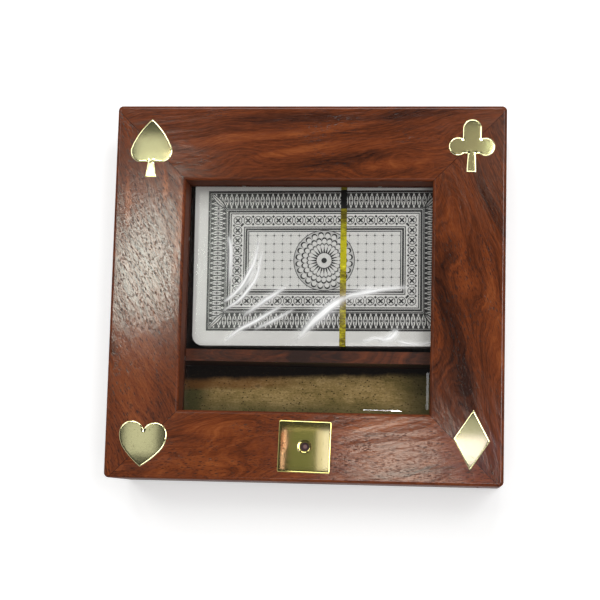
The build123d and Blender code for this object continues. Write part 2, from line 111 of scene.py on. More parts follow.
# %% [markdown]
# ## Arithmetic for shaders
# A shader is a graph of nodes, and arithmetic in it means a Math node for every sum. This class wraps one
# output socket and gives it Python's operators, so `1 - pores * 0.5` adds its own two nodes. The reflected
# forms, such as `__rsub__`, serve a number on the left.

# %% Make sockets that can be added and multiplied
class Signal:
    """A value that changes over a surface: one output socket, with Python's arithmetic."""

    def __init__(self, finish, socket):
        self.finish = finish
        self.socket = socket

    def math(self, operation, *others):
        return self.finish.node("Math", [self, *others], operation=operation)

    def math_after(self, operation, first):
        return self.finish.node("Math", [first, self], operation=operation)

    def __add__(self, other):
        return self.math("ADD", other)

    __radd__ = __add__

    def __sub__(self, other):
        return self.math("SUBTRACT", other)

    def __rsub__(self, other):
        return self.math_after("SUBTRACT", other)

    def __mul__(self, other):
        return self.math("MULTIPLY", other)

    __rmul__ = __mul__

    def __truediv__(self, other):
        return self.math("DIVIDE", other)

    def __rtruediv__(self, other):
        return self.math_after("DIVIDE", other)

    def __mod__(self, other):
        return self.math("FLOORED_MODULO", other)

    def __abs__(self):
        return self.math("ABSOLUTE")

    def least(self, other):
        return self.math("MINIMUM", other)

    def most(self, other):
        return self.math("MAXIMUM", other)

    def slope(self, low, high, start, end):
        return self.finish.node("MapRange", [self, low, high, start, end], interpolation_type="SMOOTHSTEP")

    def rise(self, low, high):
        """0 below low, 1 above high, and smooth between them."""
        return self.slope(low, high, 0.0, 1.0)

    def fall(self, low, high):
        """1 below low, 0 above high, and smooth between them."""
        return self.slope(low, high, 1.0, 0.0)


def length(a, b):
    """The long side of a square corner whose two short sides are a and b."""
    return (a * a + b * b).math("SQRT")


# %% [markdown]
# ## One class for a finish
# A finish is a material under construction. Its `node` method is the one way to add a node: it sets the
# node's settings first, since they can change which sockets there are, and then links or fills the sockets.
# Colours are written as a screen shows them, 0 to 255, and `paint` makes them linear.

# %% Make the class that builds materials
def paint(red, green, blue):
    """The linear colour for a colour as a screen shows it."""
    def linear(level):
        share = level / 255
        return share / 12.92 if share <= 0.04045 else ((share + 0.055) / 1.055) ** 2.4
    return (linear(red), linear(green), linear(blue), 1.0)


class Finish:
    """A material under construction."""

    def __init__(self, name):
        self.material = bpy.data.materials.new(name)
        self.material.use_nodes = True
        self.tree = self.material.node_tree
        self.tree.nodes.clear()

    def node(self, kind, values=(), output=0, **settings):
        """Adds a node of a kind, such as Math, and gives one of its outputs."""
        made = self.tree.nodes.new("ShaderNode" + kind)
        for key, setting in settings.items():
            if key == "stops":
                self.set_stops(made.color_ramp, setting)
            else:
                setattr(made, key, setting)
        pairs = values.items() if isinstance(values, dict) else enumerate(values)
        for key, value in pairs:
            if isinstance(value, Signal):
                self.tree.links.new(value.socket, made.inputs[key])
            else:
                made.inputs[key].default_value = value
        return Signal(self, made.outputs[output]) if len(made.outputs) else None

    def set_stops(self, ramp, stops):
        while len(ramp.elements) < len(stops):
            ramp.elements.new(0.5)
        for element, (place, colour) in zip(ramp.elements, stops):
            element.position = place
            element.color = colour

    def place(self):
        """Where a point of the surface is, in millimetres, as three signals."""
        place = self.node("TexCoord", output="Object")
        scaled = self.node("VectorMath", {"Vector": place, "Scale": 1 / MM}, operation="SCALE")
        return [self.node("SeparateXYZ", [scaled], side) for side in range(3)]

    def noise(self, x, y, z, detail=3.0, roughness=0.5):
        """Smooth noise about 0.5, one bump to each unit of x, y and z."""
        place = self.node("CombineXYZ", [x, y, z])
        values = {"Vector": place, "Scale": 1.0, "Detail": detail, "Roughness": roughness}
        return self.node("TexNoise", values, "Fac")

    def cells(self, x, y, z):
        """Distance to the nearest of many scattered points, about one to each unit."""
        place = self.node("CombineXYZ", [x, y, z])
        return self.node("TexVoronoi", {"Vector": place, "Scale": 1.0}, "Distance")

    def mix(self, share, first, second):
        return self.node("Mix", {0: share, 6: first, 7: second}, 2, data_type="RGBA")

    def ramp(self, share, *stops):
        """A colour from a row of stops, each a place from 0 to 1 and its colour."""
        return self.node("ValToRGB", [share], "Color", stops=stops)

    def blend(self, share, first, second):
        """The first shader, with this share of the second in its place."""
        return self.node("MixShader", [share, first, second])

    def bump(self, height_mm):
        """A normal from a height in millimetres."""
        return self.node("Bump", {"Strength": 1.0, "Distance": MM, "Height": height_mm})

    def shine(self, colour, roughness, normal=None, **constants):
        """The one Principled shader of most finishes. What is in constants is the same all over."""
        values = {"Base Color": colour, "Roughness": roughness}
        values.update({key.replace("_", " "): value for key, value in constants.items()})
        if normal is not None:
            values["Normal"] = normal
        return self.node("BsdfPrincipled", values)

    def done(self, shader):
        self.node("OutputMaterial", {"Surface": shader})
        print("finish", self.material.name, "has", len(self.tree.nodes), "nodes")
        return self.material


def dress(piece, material):
    """Gives a piece one material and no other."""
    piece.data.materials.clear()
    piece.data.materials.append(material)


def wall_from(shape, edges, z):
    """Adds a wall from these edges to the height z, and gives the wall's far edges."""
    added = bmesh.ops.extrude_edge_only(shape, edges=edges)["geom"]
    for vert in (part for part in added if isinstance(part, bmesh.types.BMVert)):
        vert.co.z = z
    return [part for part in added if isinstance(part, bmesh.types.BMEdge) and len(part.link_faces) == 1]


def piece_from(name, shape, smooth=True):
    """Turns a finished bmesh into an object of the scene."""
    mesh = bpy.data.meshes.new(name)
    shape.to_mesh(mesh)
    shape.free()
    for polygon in mesh.polygons:
        polygon.use_smooth = smooth
    print(name, "has", len(mesh.polygons), "faces")
    return add_to_scene(name, mesh)


# %% [markdown]
# ## The studio floor
# The box lies on a white sweep. Lit like the box, a white floor would look pale grey, so it has a little
# light of its own, for the camera and for what brass and glass mirror. It is added to the lit floor, so the
# box keeps its soft shadow. Far from the box the floor glows more, and a white wall, dimmer towards its top,
# stands round it for views from the side.

# %% Make the floor and the wall
floor_radius = 3.0
wall_height = 2.0
wall_white_height = 1000
wall_top_glow = 0.3
floor_glow = 0.42
floor_paint = paint(228, 228, 228)
lit_radius = 250
dim_radius = 900
round_steps = 64


def seen_directly(finish):
    """1 for what the camera sees, straight, in a mirror or through glass, and 0 for light that only fills."""
    kinds = ("Camera", "Glossy", "Transmission")
    rays = [finish.node("LightPath", output=f"Is {kind} Ray") for kind in kinds]
    return rays[0].most(rays[1]).most(rays[2])


def studio_white(name):
    finish = Finish(name)
    x, y, z = finish.place()
    glow = length(x, y).rise(lit_radius, dim_radius) * (1 - floor_glow) + floor_glow
    glow = glow * (z.fall(wall_white_height, wall_height / MM) * (1 - wall_top_glow) + wall_top_glow)
    glow_colour = finish.mix(glow, (0, 0, 0, 1), (1, 1, 1, 1))
    matt = finish.node("BsdfDiffuse", {"Color": floor_paint})
    own_light = finish.node("Emission", {"Color": glow_colour, "Strength": 1.0})
    dark = finish.node("Emission", {"Strength": 0.0})
    light = finish.blend(seen_directly(finish), dark, own_light)
    return finish.done(finish.node("AddShader", [matt, light]))


def studio_piece(name, build, material):
    shape = bmesh.new()
    build(shape)
    piece = piece_from(name, shape, smooth=False)
    dress(piece, material)


def floor_disc(shape):
    bmesh.ops.create_circle(shape, cap_ends=True, radius=floor_radius, segments=round_steps)


def wall_ring(shape):
    bmesh.ops.create_circle(shape, radius=floor_radius, segments=round_steps)
    wall_from(shape, shape.edges[:], wall_height)


studio_piece("floor", floor_disc, studio_white("floor_white"))
studio_piece("wall", wall_ring, studio_white("wall_white"))

# %% [markdown]
# ## Light
# Polished things show what they mirror. The camera's line to each spot of the face, turned up like a mirror,
# says where overhead that spot looks. All those places make one patch, a little left of the box and behind
# it, which stays dark so that the lacquer is deep. Four soft lamps stand close round it. They light the box
# nearly from above, so the window's edge throws little shadow on the deck. A lamp that looks white has a
# brightness of 1, and its power follows from its brightness and size.

# %% Hang the four soft lamps
room_light = 0.07
lamp_height = 1.04
white = (1, 1, 1)


def lamp(name, place, width, depth, brightness, aim=(0, 0, 0), tint=white):
    """Hangs a rectangle of light that shines towards aim."""
    light = bpy.data.lights.new(name, "AREA")
    light.color = tint
    light.shape = "RECTANGLE"
    light.size = width
    light.size_y = depth
    light.energy = brightness * math.pi * width * depth
    hung = add_to_scene(name, light)
    hung.location = place
    point_along(hung, (Vector(aim) - Vector(place)).normalized())
    print("lamp", name, "has", round(light.energy, 3), "watts")


lamp("soft_right", (0.36, 0.12, lamp_height), 0.28, 0.46, 11)
lamp("soft_back", (-0.04, 0.53, lamp_height), 0.50, 0.24, 9.5)
lamp("soft_left", (-0.52, 0.32, lamp_height), 0.24, 0.40, 6.5)
lamp("soft_front", (0.12, -0.29, lamp_height), 0.50, 0.22, 7.5)

# %% [markdown]
# ### What the face mirrors
# Small cards of light hang inside the dark patch, each where one spot of the face looks. They make the pale
# sheen on the left stile and on the front rail's right half, and they give each brass suit something to show.
# Each is placed by that spot on the face, and sized by how large its patch is there.

# %% Hang a card of light over each spot
warm = (1.0, 0.9, 0.76)
daylight = (0.93, 1.0, 0.88)
copper = (1.0, 0.25, 0.26)
peach = (1.0, 0.61, 0.9)
rosy = (0.76, 0.7, 1.0)
olive = (0.9, 1.0, 0.7)
cool = (0.62, 0.6, 1.0)
glass_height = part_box("glass_pane")[1].z


def card_over(name, left, right, front, back, brightness, tint=white, height=face_height):
    """Lights the rectangle of the face between these sides, in millimetres, by what the rectangle mirrors."""
    scale = 1 + (lamp_height - height) / (camera_place.z - height)
    middle = Vector(((left + right) / 2 * MM, (front + back) / 2 * MM))
    overhead = middle * scale - camera_place.xy * (scale - 1)
    width = (right - left) * MM * scale
    depth = (back - front) * MM * scale
    lamp(name, (*overhead, lamp_height), width, depth, brightness, (*middle, height), tint)


card_over("sheen_stile_left", -58, -46.5, -8, 26, 30, daylight)
card_over("sheen_stile_left_edge", -63, -58, -8, 16, 22, daylight)
card_over("sheen_stile_left_back", -59, -46.5, 26, 33, 10, daylight)
card_over("sheen_stile_left_end", -55, -47, 33, 39, 4, daylight)
card_over("sheen_stile_left_front", -61, -47, -12, -8, 14, daylight)
card_over("sheen_rail_front", 16, 44, -64, -48, 15, warm)
card_over("sheen_mitre", -43, -37, 38, 45, 6, warm)
card_over("sheen_corner", 62.8, 64.6, 28, 61, 9, daylight)
card_over("card_spade", -61, -45, 36, 54, 0.64)
card_over("card_club", 43, 62.2, 35, 57, 0.27, warm)
card_over("card_heart", -62, -45, -57, -38, 0.6)
card_over("card_diamond_low", 46, 63, -60, -46, 2.0, rosy)
card_over("card_diamond_top", 46, 63, -46, -36, 0.4)
card_over("card_plate", -5.0, 5.2, -60, -44.5, 0.17, olive)
card_over("card_plate_line", -5.6, 6.5, -44.4, -44.1, 1.6, warm)
card_over("card_plate_left_low", -7.8, -7.2, -60, -52.5, 3.0, peach)
card_over("card_plate_left_high", -7.0, -6.4, -52.5, -44.5, 3.0, peach)
card_over("card_plate_left_edge", -7.9, -7.1, -52.5, -45.5, 0.8, copper)
card_over("card_plate_right", 5.6, 8.0, -60, -44.5, 1.2, rosy)
card_over("card_plate_edge", 8.0, 12, -60, -44.5, 2.0, cool)
card_over("glint_pane", 39.7, 40.5, -37.5, -25.5, 2.4, height=glass_height)
card_over("glint_pane_front", 19.0, 28.4, -38.2, -37.95, 12, height=glass_height)
card_over("glint_pane_corner", 28.4, 31.6, -38.5, -37.95, 30, height=glass_height)

world = bpy.data.worlds.new("room")
bpy.context.scene.world = world
world.use_nodes = True
background = world.node_tree.nodes["Background"]
background.inputs["Color"].default_value = (*white, 1)
background.inputs["Strength"].default_value = room_light

# %% [markdown]
# ## Lacquered rosewood
# Each member is a board from the same dark red timber, with its own run of grain. A recipe of noise holds at
# any size and runs over the edges as real grain does. Yearly rings are distances from the tree's heart, bent
# by slow noise, and streaks are noise stretched along the grain. Pores are scattered cells stretched the same
# way: dark, dull and sunk into the lacquer, which breaks up the sheen. Some darker and brighter streaks are
# laid where the real boards have them. Where the face turns over into a side, the lacquer is rubbed dull.

# %% Mix the rosewood
streak_dark = paint(42, 17, 8)
streak_brown = paint(80, 37, 16)
streak_red = paint(110, 52, 23)
streak_orange = paint(142, 76, 37)
pore_brown = paint(26, 11, 7)
joint_brown = paint(28, 12, 7)
heart_across = -22.0
heart_deep = -48.0
rubbed_lacquer = 1.2
face_mm = face_height / MM
arris_depth = 1.0
pip_depth = 0.5


def turned(x, y, degrees):
    """Distances along and across a line that is turned from +X."""
    across = math.sin(math.radians(degrees))
    along = math.cos(math.radians(degrees))
    return x * along + y * across, y * along - x * across


def patch(x, y, at, reach, width, degrees):
    """1 in the middle of a long soft patch, 0 outside it."""
    along, across = turned(x - at[0], y - at[1], degrees)
    long_share, wide_share = along / reach, across / width
    return (long_share * long_share + wide_share * wide_share).fall(0.0, 1.0)


def past_window(x, y):
    """How far a place lies outside the window's ends, and outside its front and back."""
    return abs(x) - window_side / MM, abs(y - window_middle / MM) - window_half_depth / MM


def joint_line(x, y):
    """1 on the mitres, which run out at 45 degrees from the window's corners."""
    beside, beyond = past_window(x, y)
    return abs(beside - beyond).fall(0.06, 0.22) * beside.rise(-0.5, 0.0)


def arris(z):
    """1 where the face turns over into a side, and 0 on the flat of the face."""
    return z.fall(face_mm - 0.012, face_mm - 0.002)


def in_window(x, y):
    """1 on the window's own sides, which are only sawn and oiled."""
    beside, beyond = past_window(x, y)
    return beside.most(beyond).fall(0.3, 0.9)


def rosewood(name, degrees, seed, streaks=(), shade=0.0, open_pores=0.35, polish=0.11, curl=0.0, mitred=True,
             spots=(), dull_pores=0.06, waves=0.06, lacquer=1.46):
    finish = Finish(name)
    x, y, z = finish.place()
    along, across = turned(x, y, degrees)
    on_face = z.rise(face_mm - arris_depth - 0.6, face_mm - arris_depth)
    wander = finish.noise(along * 0.014 + seed, across * 0.03, z * 0.03, 2.0)
    wobble = finish.noise(along * 0.06, across * 0.22 + seed, z * 0.2, 3.0)
    ring = length(across - heart_across, z - heart_deep) + wander * 24.0 + wobble * 1.7 + seed * 7.0

    bands = finish.noise(along * 0.008, ring * 0.17, 0.0, 4.0, 0.6)
    lines = finish.noise(along * 0.025 + seed, ring * 1.3, 0.0, 4.0, 0.7)
    dashes = finish.noise(along * 0.12, ring * 2.8 + seed, z * 0.5, 3.0, 0.7)
    fibres = finish.noise(along * 0.4, across * 5.0 + seed, z * 5.0, 2.0, 0.6)
    tone = bands * 0.38 + lines * 0.5 + dashes * 0.65 + fibres * 0.4 + (shade - 0.495)
    bend = (wander - 0.5) * 14.0 + (wobble - 0.5) * 3.0
    for at, reach, width, turn, strength in streaks:
        streak = patch(x + bend, y + bend * 0.5, at, reach, width, turn) * strength
        tone = tone + (streak * on_face if mitred else streak)
    stops = (0.2, streak_dark), (0.4, streak_brown), (0.58, streak_red), (0.85, streak_orange)
    colour = finish.ramp(tone, *stops)

    crowd = finish.noise(along * 0.05, across * 0.12, z * 0.1 + seed, 3.0)
    vessels = finish.cells(along * 0.38, across * 1.25, z * 1.25 + seed).fall(0.12, 0.34)
    small = finish.cells(along * 0.8, across * 2.6 + seed, z * 2.6).fall(0.16, 0.40)
    crowded = crowd.rise(0.56 - open_pores * 0.5, 0.82 - open_pores * 0.5)
    pores = vessels.most(small * 0.7) * crowded * (on_face * 0.7 + 0.3)
    colour = finish.mix(pores * 0.75, colour, pore_brown)
    # Colours painted on the floor of a hole, below the face; in the square plate's hole they include painted
    # shade and a painted highlight.
    for at, reach, spot in spots:
        away = length(x - at[0], y - at[1])
        below = z.fall(face_mm - pip_depth - 0.1, face_mm - pip_depth)
        colour = finish.mix(away.fall(reach * 0.8, reach) * below, colour, spot)
    if mitred:
        colour = finish.mix(joint_line(x, y) * 0.85, colour, joint_brown)

    ripple = finish.noise(along * 0.10, across * 0.35, z * 0.35, 2.0)
    height = (ripple * waves - pores * 0.006 + fibres * 0.004) * (on_face * 0.8 + 0.2)
    if curl:
        height = height + finish.noise(along * 0.55, across * 0.16 + seed, z, 2.0) * curl
    roughness = pores * dull_pores + fibres * 0.05 + (1 - on_face) * 0.12 + (polish - 0.025)
    if mitred:
        roughness = roughness + arris(z) * 0.34 + in_window(x, y) * (1 - on_face) * 0.4
    shader = finish.shine(colour, roughness, finish.bump(height), IOR=lacquer)
    if mitred:
        rubbed = finish.shine(colour, 0.6, IOR=rubbed_lacquer)
        shader = finish.blend(arris(z) * 0.85, shader, rubbed)
    return finish.done(shader)


# %% [markdown]
# ### The four frame members
# The back rail's grain climbs a little to the right and has orange streaks over a dark one. The left stile's
# grain leans, and its pores are the most open. The right stile has a broad dark band down its middle. The
# front rail is the reddest. The floor of the hole in its square plate is painted: an olive ring that stands
# for brass in shade, a dark pip, and a pale painted highlight in the pip's middle.

# %% Finish the frame
back_streaks = (
    ((-8, 58), 30, 2.6, 2, -0.15),
    ((-24, 51), 28, 2.2, 7, 0.20),
    ((4, 54), 24, 2.0, 10, 0.20),
    ((-4, 47), 22, 1.6, 10, 0.20),
    ((10, 44), 22, 2.6, 8, -0.17),
    ((32, 59), 16, 2.2, 4, -0.16),
    ((30, 43), 14, 2.0, 6, 0.18),
)
left_streaks = (
    ((-49.5, 34), 7, 0.9, 95, 0.34),
    ((-61, 30), 12, 1.4, 92, 0.26),
    ((-56, -30), 22, 10, 92, 0.16),
    ((-44, 20), 24, 1.6, 91, 0.20),
)
right_streaks = (
    ((47.5, -14), 32, 4.6, 103, -0.15),
    ((53, -30), 14, 3.4, 104, -0.10),
    ((61, -10), 24, 3.6, 104, 0.18),
    ((60, 28), 20, 2.4, 112, -0.14),
    ((48, 14), 20, 2.4, 106, 0.12),
)
front_streaks = (
    ((-26, -45), 16, 3.4, 4, 0.16),
    ((-30, -56), 20, 3.0, 3, 0.12),
    ((24, -44), 16, 2.6, 8, 0.22),
    ((36, -58), 20, 1.8, 10, -0.16),
)
# The hole's floor: an olive ring standing for brass in shade, a dark pip, and a pale painted highlight at its
# middle.
pip_floor_paint_and_highlight = (
    ((0.9, -50.9), 2.6, paint(112, 104, 48)),
    ((0.9, -50.9), 1.6, paint(58, 40, 44)),
    ((1.0, -50.8), 0.7, paint(112, 86, 84)),
)


def finish_member(member, *looks, **more):
    dress(nodes["frame_" + member], rosewood("rosewood_" + member, *looks, **more))


finish_member("rail_back", 7, 3.1, back_streaks, open_pores=0.2)
finish_member("rail_front", 9, 1.9, front_streaks, 0.10, open_pores=0.55, spots=pip_floor_paint_and_highlight)
finish_member(
    "stile_left", 118, 8.4, left_streaks, 0.04, open_pores=0.8, curl=0.009, dull_pores=0.1, waves=0.03
)
finish_member("stile_right", 108, 5.7, right_streaks, -0.01)

# %% [markdown]
# ### The casing and the drawer
# These are the same timber under a duller lacquer, with the grain along each board. So are the divider and
# the beads under the glass, and the divider carries a painted dark reflection across its middle. The dark
# gaps between drawer and casing come from the joinery.

# %% Finish the casing and drawer
# The divider's middle is darkened as a painted dark reflection; towards its right end it is a little lighter
# in tone.
divider_tone_and_reflection = (
    ((-2.3, -20), 4.8, 6, 0, -0.28),
    ((6, -20), 9, 6, 0, -0.12),
    ((24, -20), 12, 6, 0, 0.06),
)


def finish_boards(boards, **looks):
    for node, degrees, seed in boards:
        dress(nodes[node], rosewood("rosewood_" + node, degrees, seed, mitred=False, **looks))


finish_boards((
    ("casing_wall_back", 0, 2.2),
    ("casing_wall_left", 90, 4.6),
    ("casing_wall_right", 90, 6.8),
    ("base_board", 0, 9.3),
    ("drawer_front", 0, 7.7),
    ("drawer_side_left", 90, 1.2),
    ("drawer_side_right", 90, 3.9),
    ("drawer_back", 0, 5.1),
), shade=-0.04, polish=0.34, lacquer=1.27)
finish_boards((
    ("glass_bead_back", 0, 6.1),
    ("glass_bead_front", 0, 8.8),
    ("glass_bead_left", 90, 4.1),
    ("glass_bead_right", 90, 7.3),
), shade=-0.06, polish=0.5, lacquer=1.25)
finish_boards([("drawer_divider", 0, 2.9)], streaks=divider_tone_and_reflection, shade=-0.14, polish=0.2, lacquer=1.25)

# %% [markdown]
# ### The raw board
# The drawer's bottom was left unfinished: beige, matt and fibrous, with fine dark specks. Painted shade,
# olive-green, darkens it along its front and ends, and a painted shadow lies along the divider.

# %% Finish the drawer's bottom
finish = Finish("raw_board")
x, y, z = finish.place()
fibres = finish.noise(x * 0.2, y * 1.4, z * 2.2, 4.0, 0.7)
clouds = finish.noise(x * 0.07, y * 0.14, z, 3.0)
blots = finish.noise(x * 0.35, y * 0.5, z, 4.0, 0.7)
grit = finish.noise(x * 1.3, y * 2.2, z, 3.0, 0.7)
crowd = finish.noise(x * 0.2, y * 0.3, 4.0).rise(0.35, 0.6)
specks = finish.cells(x * 0.8, y * 1.2, z).fall(0.14, 0.32) * crowd
tone = fibres * 0.4 + clouds * 0.7 + blots * 0.6 + grit * 0.6 - 0.6
stops = (0.3, paint(114, 98, 52)), (0.55, paint(158, 132, 82)), (0.8, paint(200, 170, 116))
colour = finish.ramp(tone, *stops)
uneven = finish.noise(x * 0.16, y * 0.16, 7.0, 3.0, 0.6)
to_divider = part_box("drawer_divider")[0].y / MM - y
to_divider = to_divider + (blots - 0.5) + (uneven - 0.5) * 2.0 + x * 0.034 + 0.7
to_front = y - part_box("drawer_front")[1].y / MM
# Painted shade, olive-green, where the frame shades the board: along its front and at both ends.
painted_shade = to_front.fall(13.0, 23.0) * 0.9
painted_shade = painted_shade.most(x.rise(22.0, 40.0) * 0.75).most(x.fall(-41.0, -32.0) * 0.85)
colour = finish.mix(painted_shade, colour, paint(60, 64, 32))
stain = to_divider.fall(6.5, 8.5) * x.fall(-25.0, 5.0)
colour = finish.mix(stain * 0.6, colour, paint(120, 66, 22))
# Painted shadow of the divider on the board, nearly black, with a wavy edge.
colour = finish.mix(to_divider.fall(3.0, 5.4), colour, paint(18, 8, 3))
colour = finish.mix(specks.most(blots.rise(0.58, 0.72) * 0.6), colour, paint(46, 34, 16))
shader = finish.shine(colour, 0.75, finish.bump(fibres * 0.08 - specks * 0.05), IOR=1.2)
dress(nodes["drawer_bottom"], finish.done(shader))

# %% [markdown]
# ## The glass
# A real pane bends light, but a pane this thin only tints it and mirrors a little more at a slant. Mixing a
# clear shader and a mirror says just that, and it lets the lamps through. The mirror is perfectly smooth, so
# small lamps show in it as clean glints. It takes a few hundredths of the light straight on, and more with
# the fifth power of the slant, up to all of it at a grazing one.

# %% Finish the glass
def mirrored_share(finish, straight_on):
    """How much a clear surface mirrors, straight on and at a slant."""
    slant = finish.node("LayerWeight", {"Blend": 0.5}, "Facing")
    return slant.math("POWER", 5.0) * (1 - straight_on) + straight_on


finish = Finish("window_glass")
clear = finish.node("BsdfTransparent", {"Color": (0.97, 0.97, 0.97, 1.0)})
mirror = finish.shine((1, 1, 1, 1), 0.0, Metallic=1.0)
dress(nodes["glass_pane"], finish.done(finish.blend(mirrored_share(finish, 0.03), clear, mirror)))

# %% [markdown]
# ## Brass suits
# The suits are struck plates. Their outlines are in the frame, but a struck plate isn't flat: it swells to a
# soft cushion and turns down at the rim, which is why a dark line follows each bright edge. So each plate is
# made anew inside the same outline, which is read from the underside of the frame's own plate.

# %% Read an outline from the underside of a plate
same_place = 0.002 * MM
same_height = 0.01 * MM


def underside_loops(node):
    """The closed outlines of a plate's underside, each as points in order."""
    low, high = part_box(node)
    shape = bmesh.new()
    shape.from_mesh(nodes[node].data)
    bmesh.ops.remove_doubles(shape, verts=shape.verts, dist=same_place)
    flat = [face for face in shape.faces if all(vert.co.z < low.z + same_height for vert in face.verts)]
    beside = {}
    for edge in shape.edges:
        if sum(face in flat for face in edge.link_faces) == 1:
            first, second = edge.verts
            beside.setdefault(first.index, []).append(second.index)
            beside.setdefault(second.index, []).append(first.index)
    places = {vert.index: vert.co.xy.copy() for vert in shape.verts}
    loops = []
    while beside:
        loop = [next(iter(beside))]
        here = beside[loop[0]][0]
        while here != loop[0]:
            loop.append(here)
            here = next(index for index in beside[here] if index != loop[-2])
        for index in loop:
            del beside[index]
        loops.append([places[index] for index in loop])
    shape.free()
    return sorted(loops, key=len, reverse=True)


for suit in ("spade", "club", "heart", "diamond"):
    print(suit, "outline has", [len(loop) for loop in underside_loops(suit + "_inlay")], "points")

# %% [markdown]
# ### From an outline to a struck plate
# The rim is the outline cut into short even steps, and rings of points follow it just inside, where the metal
# turns down. Points further in lie on a grid. A triangle net joins them all, and the sides drop from the rim
# to the recess's floor. The rim's edges are marked sharp, and so are those of the small bevel round the
# square plate's hole.

# %% Make a plate inside an outline
net_step = 0.42 * MM
rim_round = 0.18 * MM
hole_bevel = 0.15 * MM
hole_dish = 0.034 * MM
bevel_turn = math.radians(6)
rim_insets = (0.07 * MM, hole_bevel, 0.38 * MM)
sharp_turn = math.radians(28)


def evened(loop, step):
    """The same closed outline with even steps, each of its corners kept."""
    around = list(zip(loop[-1:] + loop[:-1], loop, loop[1:] + loop[:1]))
    turns = [(here - before).angle(onward - here, 0) for before, here, onward in around]
    corners = [number for number, turn in enumerate(turns) if turn > sharp_turn] or [0]
    points = []
    for start, end in zip(corners, corners[1:] + [corners[0] + len(loop)]):
        span = [loop[number % len(loop)] for number in range(start, end + 1)]
        runs = [(b - a).length for a, b in zip(span, span[1:])]
        count = max(1, round(sum(runs) / step))
        for part in range(count):
            wanted = sum(runs) * part / count
            number = 0
            while wanted > runs[number] and number < len(runs) - 1:
                wanted -= runs[number]
                number += 1
            points.append(span[number].lerp(span[number + 1], min(1.0, wanted / max(runs[number], 1e-12))))
    return points


def to_line(point, start, end):
    """Distance from a straight part, and how far along it the nearest place lies."""
    run = end - start
    share = max(0.0, min(1.0, (point - start).dot(run) / max(run.length_squared, 1e-18)))
    return (start + run * share - point).length, share


def to_rim(point, loops):
    return min(to_line(point, a, b)[0] for loop in loops for a, b in zip(loop, loop[1:] + loop[:1]))


def is_inside(point, loop):
    inside = False
    for a, b in zip(loop, loop[1:] + loop[:1]):
        if (a.y > point.y) != (b.y > point.y) and point.x < a.x + (point.y - a.y) / (b.y - a.y) * (b.x - a.x):
            inside = not inside
    return inside


def on_metal(point, loops):
    return is_inside(point, loops[0]) and not any(is_inside(point, hole) for hole in loops[1:])


def plate_points(loops, low, high):
    """Points inside the outline: rings that follow the rim, and then a grid."""
    points = []
    for inset in rim_insets:
        for rim in loops:
            for before, onward in zip(rim, rim[1:] + rim[:1]):
                run = onward - before
                offset = Vector((-run.y, run.x)).normalized() * inset
                for point in ((before + onward) / 2 + offset, (before + onward) / 2 - offset):
                    if on_metal(point, loops) and to_rim(point, loops) > 0.9 * inset:
                        points.append(point)
    clear_of_rings = rim_insets[-1] + 0.45 * net_step
    for column in range(math.ceil((high.x - low.x) / net_step) + 1):
        for row in range(math.ceil((high.y - low.y) / net_step) + 1):
            shift = 0.5 * net_step * (row % 2)
            point = Vector((low.x + column * net_step + shift, low.y + row * net_step))
            if on_metal(point, loops) and to_rim(point, loops) > clear_of_rings:
                points.append(point)
    return points


def struck_plate(name, node, crown):
    """A plate in the outline of the frame's own. Its middle stands higher than its rim by crown."""
    low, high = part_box(node)
    middle = (low.xy + high.xy) / 2
    reach = (high.xy - low.xy).length / 2
    loops = [evened(loop, net_step) for loop in underside_loops(node)]
    points = [point for loop in loops for point in loop]
    edges = []
    first = 0
    for loop in loops:
        edges += [(first + step, first + (step + 1) % len(loop)) for step in range(len(loop))]
        first += len(loop)
    points += plate_points(loops, low, high)
    places, _, faces = delaunay_2d_cdt(points, edges, [], 0, 1e-7)[:3]
    mesh = bmesh.new()
    verts = []
    for place in places:
        turned_down = max(0.0, 1 - to_rim(place, loops[:1]) / rim_round)
        away = (place - middle) / reach
        z = high.z - crown * away.length_squared
        z -= rim_round * (1 - math.sqrt(max(0.0, 1 - turned_down ** 2)))
        if loops[1:]:
            z -= hole_dish * max(0.0, 1 - to_rim(place, loops[1:]) / hole_bevel)
        verts.append(mesh.verts.new((place.x, place.y, z)))
    for face in faces:
        if on_metal(sum((places[index] for index in face), Vector((0, 0))) / len(face), loops):
            mesh.faces.new([verts[index] for index in face])
    rim_edges = [edge for edge in mesh.edges if len(edge.link_faces) == 1]
    wall_from(mesh, rim_edges, low.z)
    for edge in rim_edges:
        edge.smooth = False
    bmesh.ops.recalc_face_normals(mesh, faces=mesh.faces)
    for edge in mesh.edges:
        spot = (edge.verts[0].co.xy + edge.verts[1].co.xy) / 2
        near_hole = loops[1:] and to_rim(spot, loops[1:]) < 1.2 * hole_bevel
        if near_hole and edge.calc_face_angle(0) > bevel_turn:
            edge.smooth = False
    plate = piece_from(name, mesh)
    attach(plate, "casing")
    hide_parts(node)
    return plate


# %% [markdown]
# ### Polished brass
# The plates were buffed by hand: very fine lines cross them, a few spots are duller, and the surface wanders
# by a thousandth or two of a millimetre, which is enough to bend what it mirrors.

# %% Finish the brass
def brass(name, colour, seed, wander=0.002, polish=0.05):
    finish = Finish(name)
    x, y, z = finish.place()
    buffed = finish.noise(x * 1.2, y * 7.0 + seed, z, 3.0, 0.6)
    slow = finish.noise(x * 0.3 + seed, y * 0.3, z, 2.0)
    spots = finish.noise(x * 1.1, y * 1.1 + seed, z, 4.0, 0.7)
    tarnish = spots.rise(0.56, 0.78)
    shade = finish.mix(tarnish * 0.4, colour, paint(150, 128, 66))
    height = (buffed * 0.3 + slow) * wander
    roughness = buffed * 0.06 + tarnish * 0.06 + (polish - 0.02)
    shader = finish.shine(shade, roughness, finish.bump(height), Metallic=1.0)
    return finish.done(shader)


